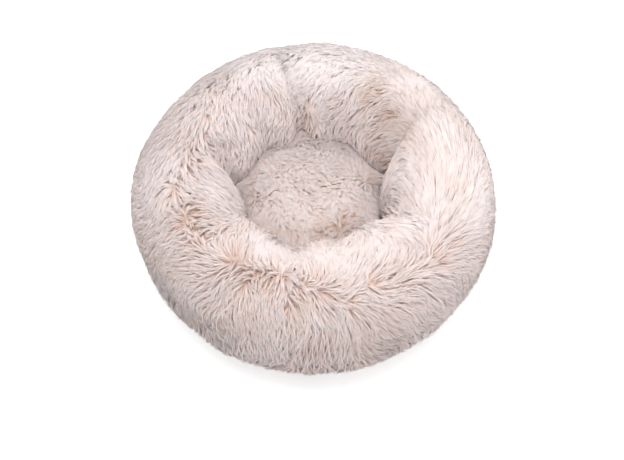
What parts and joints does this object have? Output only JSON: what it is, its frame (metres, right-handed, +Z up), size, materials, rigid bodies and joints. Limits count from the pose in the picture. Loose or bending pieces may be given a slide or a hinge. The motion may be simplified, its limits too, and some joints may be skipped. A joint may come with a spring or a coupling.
{
  "type": "pet bed",
  "caption": "Round plush pet bed: a puffy gathered ring bolster round a crowned lift-out cushion, closed below by a woven base with a hidden zip.",
  "frame": {"origin": "centre of the underside, on the floor", "axes": "+Z up; -Y towards the viewer of the picture; +X to the viewer's right; the zip is at +Y"},
  "size_m": [0.6, 0.5989, 0.2197],
  "materials": {
    "plush": "long shaggy faux fur, blush beige",
    "lining": "thin non-woven liner, off-white",
    "fibre": "lofted polyester fibre, white",
    "base_fabric": "plain woven polyester with anti-slip dots, warm grey",
    "binding": "folded woven tape, taupe",
    "zip_tape": "herringbone zip tape, beige",
    "zip_coil": "satin nylon coil, beige",
    "zip_metal": "nickel-plated zinc, satin"
  },
  "bodies": {
    "bed": {"bolster_cover": "plush", "bolster_liner": "lining", "bolster_filling": "fibre", "well_floor": "base_fabric", "base_pad": "fibre", "base_sheet": "base_fabric", "base_binding": "binding", "zip_tape_lower": "zip_tape", "zip_tape_upper": "zip_tape", "zip_coil_lower": "zip_coil", "zip_coil_upper": "zip_coil", "zip_bottom_stop": "zip_metal", "zip_top_stop_lower": "zip_metal", "zip_top_stop_upper": "zip_metal"},
    "cushion": {"cushion_cover_top": "plush", "cushion_cover_bottom": "base_fabric", "cushion_filling": "fibre"},
    "zip_slider": {"zip_slider": "zip_metal"},
    "zip_pull": {"zip_pull": "zip_metal"}
  },
  "joints": [
    {"name": "cushion_lift", "type": "slide", "parent": "bed", "child": "cushion", "axis": [0, 0, 1], "range_m": [0, 0.25]},
    {"name": "zip_travel", "type": "hinge", "parent": "bed", "child": "zip_slider", "pos_m": [0, 0, 0.02437], "axis": [0, 0, 1], "range_deg": [0, 134]},
    {"name": "zip_pull_swing", "type": "hinge", "parent": "zip_slider", "child": "zip_pull", "pos_m": [0.2413, 0.10166, 0.02173], "axis": [-0.6402, -0.2697, -0.7193], "range_deg": [-75, 75]}
  ]
}
